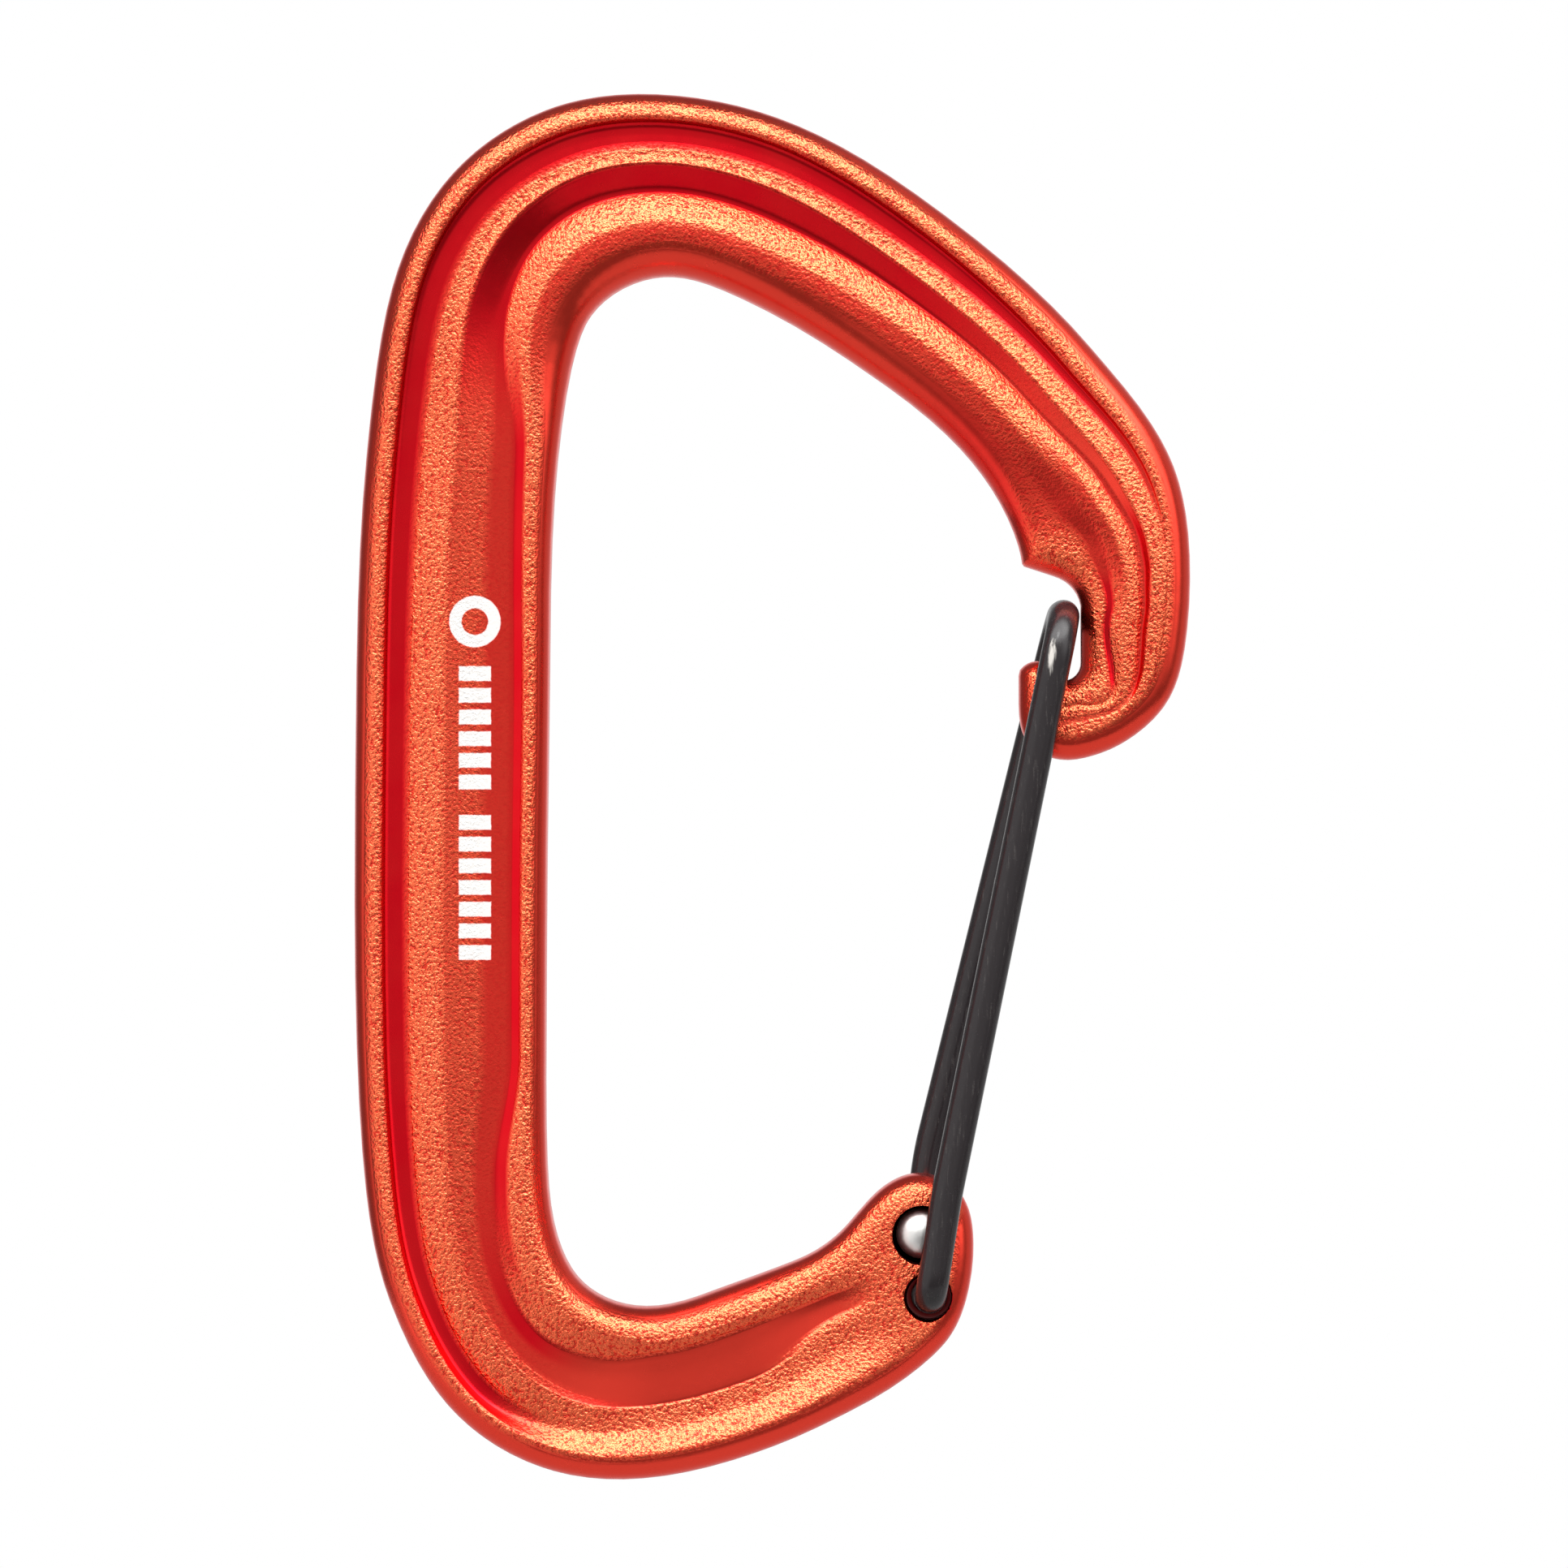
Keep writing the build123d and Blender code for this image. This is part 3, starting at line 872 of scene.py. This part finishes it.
def wire_finish(look):
    """Black-coated wire with a soft sheen, fine rubbed streaks and one near-white painted highlight by the
    nose.
    """
    material, recipe = new_material("black_wire")
    place, (x, y, z) = recipe.place()
    stretch = {0: place, 1: (1.0, 1.0, 0.12)}
    stretched = recipe.node("ShaderNodeVectorMath", {"operation": "MULTIPLY"}, stretch)
    streaks = recipe.noise(stretched, 5.0, 3.0, 0.6)
    specks = recipe.noise(place, 7.0, 2.0)
    rubbed = streaks.ramp(0.55, 0.75) * 0.5
    colour = recipe.colour(rubbed, rgba(look.wire_colour), rgba(look.rubbed_colour))
    # A near-white painted highlight on the front of the wire, just under the crown by the nose.
    along = z - PAINTED_HIGHLIGHT_PLACE[1]
    across = (x - PAINTED_HIGHLIGHT_PLACE[0] - along * PAINTED_HIGHLIGHT_LEAN) * PAINTED_HIGHLIGHT_NARROW
    away = (across * across + along * along).root() + (streaks - 0.5) * 2.4
    painted_highlight = (1 - away.ramp(0.3, 1.3)) * (y < -4)
    colour = recipe.colour(painted_highlight * 0.8, colour, rgba(PAINTED_HIGHLIGHT_COLOUR))
    relief = recipe.bump(specks * 0.6 + streaks * 0.4, 0.012 * MM, 0.35)
    inputs = {
        "Base Color": colour,
        "Metallic": 0.0,
        "Roughness": 0.24 + (specks - 0.5) * 0.16 + rubbed * 0.1,
        "Specular IOR Level": 0.38,
        "Normal": relief,
    }
    recipe.principled(inputs)
    return material


def steel_finish():
    """Polished steel with a faint tumbled haze."""
    material, recipe = new_material("polished_steel")
    place, _ = recipe.place()
    haze = recipe.noise(place, 2.4, 3.0, 0.6)
    scratches = recipe.noise(place, 9.0, 3.0, 0.7)
    colour = recipe.colour(haze, (0.66, 0.65, 0.63, 1), (0.88, 0.87, 0.85, 1))
    inputs = {
        "Base Color": colour,
        "Metallic": 1.0,
        "Roughness": 0.30 + haze * 0.16,
        "Normal": recipe.bump(scratches, 0.006 * MM, 0.3),
    }
    recipe.principled(inputs)
    return material


def floor_finish():
    material, recipe = new_material("pale_floor")
    place, _ = recipe.place()
    fleck = recipe.noise(place, 0.05, 2.0)
    colour = recipe.colour(fleck, (0.29, 0.29, 0.29, 1), (0.31, 0.31, 0.31, 1))
    inputs = {"Base Color": colour, "Roughness": 0.85}
    recipe.principled(inputs)
    return material


# ---------------------------------------------------------------- settings


def swatch(name, description, colour):
    """A setting that holds a colour."""
    return FloatVectorProperty(name=name, description=description, subtype="COLOR", size=3, default=colour)


def number(name, description, default, low=0.0):
    """A setting that holds a number no less than low."""
    return FloatProperty(name=name, description=description, default=default, min=low)


class CarabinerBody(bpy.types.PropertyGroup):
    # The orange of the blasted metal is a painted glint colour.
    colour: swatch("Dye", "Colour of the blasted metal", (1.0, 0.165, 0.070))
    smooth_colour: swatch("Smooth dye", "Colour of the metal that the die left smooth", (0.88, 0.060, 0.036))
    # Painted shade on the walls, in the hollows and in the creases.
    wall_shade_colour: swatch("Deep dye", "Colour where the dye is deepest, on the walls", (0.70, 0.006, 0.014))
    # Painted shade in the bottoms of the blasted dimples.
    pit_shade_colour: swatch("Pit dye", "Colour in the bottoms of the blasted dimples", (0.72, 0.045, 0.026))
    # The darkest painted shade, inside the bores.
    bore_shade_colour: swatch("Bore dye", "Colour inside the bores", (0.16, 0.006, 0.006))
    grain_per_mm: number("Grain", "Blasted dimples in each millimetre", 4.4, 0.5)
    grain_depth: number("Grain depth", "Depth of the blasting, in millimetres", 0.165)


class CarabinerGate(bpy.types.PropertyGroup):
    wire_colour: swatch("Coating", "Colour of the wire's coating", (0.013, 0.010, 0.011))
    rubbed_colour: swatch("Rubbed", "Colour where the coating is rubbed", (0.050, 0.044, 0.042))
    elbow: number("Elbow", "Centreline radius of the feet, in millimetres", 1.7, 0.5)
    crown: number("Crown", "Centreline radius of the crown's corners, in millimetres", 3.0, 0.5)
    bore_clearance: number("Clearance", "Gap round the wire in its bore, in millimetres", 0.45)
    sides: IntProperty(name="Sides", description="Points round the wire", default=32, min=8, max=96)


class CarabinerStage(bpy.types.PropertyGroup):
    lens: number("Lens", "Focal length, in millimetres", 200, 20)
    margin: number("Margin", "Frame height over the body's height", 1.135, 1)
    key: number("Key", "Brightness of the softbox over the camera", 12.0)
    overhead: number("Overhead", "Brightness of the panel overhead", 5.6)
    left: number("Left", "Brightness of the panel at the left", 0.85)
    right: number("Right", "Brightness of the panel at the right", 2.2)
    front: number("Front", "Brightness of the panel in front", 0.47)
    below: number("Below", "Brightness of the pale surface low at the right", 0.35)
    behind: number("Behind", "Brightness of the wall behind", 0.6)
    room: number("Room", "Brightness of the room itself", 0.22)


# ---------------------------------------------------------------- operators


class CARABINER_OT_forge_body(bpy.types.Operator):
    """Forge the body: ridges, groove and web over the CAD outline, with both bores drilled"""

    bl_idname = "carabiner.forge_body"
    bl_label = "Forge body"

    def execute(self, context):
        look = context.scene.carabiner_body
        outline_loop, *seats = cut_at_mid_plane("body")
        outline = Outline(outline_loop)
        sheet, coarse, painted_shade = body_sheet(outline)
        finish = anodised_finish(look)
        made = finish_mesh("forged_body", forged_mesh(sheet), finish)
        cutters = []
        for seat in seats[:2]:
            middle = np.mean(np.array(seat), axis=0)
            ball = min(BALLS, key=lambda node: np.hypot(*(ball_centre(node) - middle)))
            cutters.append(bore_cutter(seat, ball))
        drill(made, cutters)
        made.data.shade_smooth()
        nearest = nearest_places(made, [point for side in both_sides(sheet) for row in side for point in row])
        bored = in_bores(made, seats[:2])
        # Inside the bores the grain is taken off and the darkest painted shade is painted.
        paint(made, "coarse", np.where(bored, 0, np.tile(coarse.ravel(), 2)[nearest]))
        paint(made, "painted_shade", np.where(bored, BORE_SHADE, np.tile(painted_shade.ravel(), 2)[nearest]))
        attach(made, "frame")
        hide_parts("body")
        return {"FINISHED"}


def in_bores(made, seats):
    """Which points of the drilled body lie on the wall or floor of a bore, below its broken edge."""
    flat = np.array([vert.co for vert in made.data.vertices]) / MM
    facing = np.array([vert.normal for vert in made.data.vertices])[:, (0, 2)]
    inside = np.zeros(len(flat), bool)
    for seat in seats:
        seat = np.array(seat)
        inward = seat.mean(axis=0) - flat[:, (0, 2)]
        away = np.linalg.norm(inward, axis=1)
        reach = np.linalg.norm(seat - seat.mean(axis=0), axis=1).max() + 0.02
        turned_in = (facing * inward).sum(axis=1) > 0.3 * away
        inside |= (away < reach) & turned_in & (np.abs(flat[:, 1]) < BOSS_FACE - 0.1)
    return inside


def ball_centre(node):
    low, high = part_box(node)
    return np.array([(low.x + high.x) / 2 / MM, (low.z + high.z) / 2 / MM])


def ball_size(node):
    """Which face a ball is on, its radius, and how far its pole stands from the mid-plane, in millimetres."""
    low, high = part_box(node)
    side = 1 if high.y + low.y > 0 else -1
    return side, (high.x - low.x) / 2 / MM, max(side * low.y, side * high.y) / MM


def crown_place():
    """The middle of the crown, where the gate's two legs are joined."""
    return Vector(next(j["pos_m"] for j in frame["joints"] if j["name"] == "crown_flex"))


def wire_size():
    """The wire's radius in millimetres: how far the front leg reaches beyond the crown's middle."""
    _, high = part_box("gate_front_leg")
    return (high.x - crown_place().x) / MM


class CARABINER_OT_bend_gate(bpy.types.Operator):
    """Bend the gate: one wire from the front foot over the crown to the rear foot"""

    bl_idname = "carabiner.bend_gate"
    bl_label = "Bend gate"

    def execute(self, context):
        look = context.scene.carabiner_gate
        radius = wire_size() * MM
        crown = crown_place()
        front, rear = (leg_corners(*leg, radius, crown) for leg in LEGS)
        route = front + rear[::-1]
        turns = [look.elbow, LEG_BEND, look.crown, look.crown, LEG_BEND, look.elbow]
        path = rounded_path(route, [turn * MM for turn in turns], 0.45 * MM)
        rings = tube_along(path, radius, look.sides)
        reach = (CROWN_HALF - look.crown + 0.05) * MM
        top = [k for k, point in enumerate(path) if abs(point.y) < reach and point.z > crown.z - radius]
        finish = wire_finish(look)
        front = wire_piece("gate_wire_front", rings[: top[0] + 1], finish)
        middle = wire_piece("gate_wire_crown", rings[top[0] : top[-1] + 1], finish)
        rear = wire_piece("gate_wire_rear", rings[top[-1] :], finish)
        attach(front, "front_leg")
        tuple(path[top[0]])
        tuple(path[top[-1]])
        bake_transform(middle)
        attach(rear, "rear_leg")
        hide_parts("gate_front_leg")
        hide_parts("gate_rear_leg")
        return {"FINISHED"}


def leg_corners(node, ball, side, bend, radius, crown):
    """The corners of one leg's centreline, from the end of its foot to the crown."""
    low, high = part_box(node)
    foot = ball_centre(ball) * MM
    plane = side * (max(abs(low.y), abs(high.y)) - radius)
    end = min(side * low.y, side * high.y) * side
    return [
        Vector((foot[0], end, foot[1])),
        Vector((foot[0], plane, foot[1])),
        Vector((foot[0] + bend[0] * MM, plane, foot[1] + bend[1] * MM)),
        Vector((crown.x, side * CROWN_HALF * MM, crown.z)),
    ]


def wire_piece(name, rings, finish):
    """One run of the wire, with flat ends that don't soften the shading of its sides."""
    mesh = bmesh.new()
    skin_rings(mesh, rings)
    for face in mesh.faces:
        if len(face.verts) > 4:
            for edge in face.edges:
                edge.smooth = False
    return finish_mesh(name, mesh, finish)


class CARABINER_OT_seat_balls(bpy.types.Operator):
    """Turn the steel ball on each foot of the wire, with its weld collar and the small flat at its pole"""

    bl_idname = "carabiner.seat_balls"
    bl_label = "Seat balls"

    def execute(self, context):
        finish = steel_finish()
        for node, body in zip(BALLS, ("front_leg", "rear_leg")):
            side, radius, pole = ball_size(node)
            middle = pole - radius
            collar = wire_size() + COLLAR
            start = math.asin(collar / radius)
            base = middle - radius * math.cos(start)
            profile = [(collar * 0.6, base + 0.1), (collar, base)]
            for angle in np.linspace(start, math.pi - 0.03, 40)[1:]:
                profile.append((radius * math.sin(angle), middle - radius * math.cos(angle)))
            mesh = bmesh.new()
            skin_rings(mesh, turned(profile, ball_centre(node), side))
            made = finish_mesh(node.replace("leg_ball", "foot_ball"), mesh, finish)
            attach(made, body)
            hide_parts(node)
        return {"FINISHED"}


class CARABINER_OT_set_stage(bpy.types.Operator):
    """Set the stage: pale floor, softbox, soft surroundings and the camera"""

    bl_idname = "carabiner.set_stage"
    bl_label = "Set stage"

    def execute(self, context):
        look = context.scene.carabiner_stage
        low, high = cad_bounds
        low, high = Vector(low), Vector(high)
        middle = (low + high) / 2
        lay_floor(middle + Vector((0, FLOOR_BACK, 0)), low.z - FLOOR_DROP)
        softbox("key", middle + Vector(KEY_PLACE), middle, KEY_SIZE, look.key)
        surroundings(look)
        camera = bpy.data.cameras.new("camera")
        camera.lens = look.lens
        camera.sensor_width = SENSOR
        camera.clip_start, camera.clip_end = 0.01, 20
        holder = add_object("camera", camera)
        away = (high.z - low.z) * look.margin * look.lens / SENSOR
        beside, above = CAMERA_SHIFT
        holder.location = (middle.x + beside * MM, middle.y - away, middle.z + above * MM)
        holder.rotation_euler = (math.pi / 2, 0, 0)
        context.scene.camera = holder
        context.scene.view_settings.view_transform = "Standard"
        return {"FINISHED"}


def lay_floor(middle, height):
    """A round floor, in rings so that its faces stay small."""
    mesh = bmesh.new()
    ways = [Vector((math.cos(a), math.sin(a), 0)) for a in circle(96)]
    centre = Vector((middle.x, middle.y, height))
    skin_rings(mesh, [[centre + way * radius for way in ways] for radius in FLOOR_RINGS], closed_ends=False)
    mesh.verts.ensure_lookup_table()
    mesh.faces.new(mesh.verts[: len(ways)])
    data = bpy.data.meshes.new("floor")
    bmesh.ops.recalc_face_normals(mesh, faces=mesh.faces)
    mesh.to_mesh(data)
    mesh.free()
    floor = add_object("floor", data)
    data.materials.append(floor_finish())


def softbox(name, place, target, size, brightness):
    """A soft rectangular light whose surface looks that bright, however large it is."""
    light = bpy.data.lights.new(name, "AREA")
    light.shape = "RECTANGLE"
    light.size, light.size_y = size
    light.energy = brightness * math.pi * size[0] * size[1]
    holder = add_object(name, light)
    holder.location = place
    holder.rotation_euler = (target - place).to_track_quat("-Z", "Y").to_euler()


def surroundings(look):
    """White behind the object, and round it a dim room with soft panels above, in front and at both sides."""
    world = bpy.data.worlds.new("room")
    bpy.context.scene.world = world
    recipe = Recipe(world)
    right, back, up = recipe.split(recipe.node("ShaderNodeTexCoord", output=0))
    front, left = 0 - back, 0 - right
    ahead = front.ramp(-0.2, 0.15)
    upper_right = (right + up * 0.7).ramp(0.5, 0.95) * up.ramp(-0.35, 0.3)
    room = (
        look.room
        + look.front * front.ramp(0.62, 0.97) * up.ramp(-0.42, -0.08)
        + look.overhead * up.ramp(0.42, 0.68) * front.ramp(0.0, 0.3)
        + look.left * left.ramp(0.3, 0.75) * ahead
        + look.right * upper_right * front.ramp(0.1, 0.5)
        + look.below * right.ramp(0.2, 0.7) * (1 - ahead)
        + look.behind * back.ramp(0.72, 0.92)
    )
    seen = recipe.node("ShaderNodeLightPath", output=0)
    strength = room * (1 - seen) + seen
    surface = recipe.node("ShaderNodeBackground", {}, {"Color": (1, 1, 1, 1), "Strength": strength})
    recipe.finish("ShaderNodeOutputWorld", surface)


# ---------------------------------------------------------------- panel


class CARABINER_PT_pieces(bpy.types.Panel):
    """The carabiner's pieces, its finishes and its stage"""

    bl_label = "Carabiner"
    bl_space_type = "VIEW_3D"
    bl_region_type = "UI"
    bl_category = "Carabiner"

    def draw(self, context):
        for settings, operator in (
            (context.scene.carabiner_body, CARABINER_OT_forge_body),
            (context.scene.carabiner_gate, CARABINER_OT_bend_gate),
            (None, CARABINER_OT_seat_balls),
            (context.scene.carabiner_stage, CARABINER_OT_set_stage),
        ):
            box = self.layout.box()
            box.operator(operator.bl_idname)
            for name in getattr(settings, "__annotations__", ()):
                box.prop(settings, name)


CLASSES = (
    CarabinerBody,
    CarabinerGate,
    CarabinerStage,
    CARABINER_OT_forge_body,
    CARABINER_OT_bend_gate,
    CARABINER_OT_seat_balls,
    CARABINER_OT_set_stage,
    CARABINER_PT_pieces,
)


def register():
    for made in CLASSES:
        bpy.utils.register_class(made)
    bpy.types.Scene.carabiner_body = PointerProperty(type=CarabinerBody)
    bpy.types.Scene.carabiner_gate = PointerProperty(type=CarabinerGate)
    bpy.types.Scene.carabiner_stage = PointerProperty(type=CarabinerStage)


def unregister():
    del bpy.types.Scene.carabiner_stage
    del bpy.types.Scene.carabiner_gate
    del bpy.types.Scene.carabiner_body
    for made in reversed(CLASSES):
        bpy.utils.unregister_class(made)


def main():
    register()
    bpy.ops.carabiner.forge_body()
    bpy.ops.carabiner.bend_gate()
    bpy.ops.carabiner.seat_balls()
    bpy.ops.carabiner.set_stage()


if __name__ == "__main__":
    main()
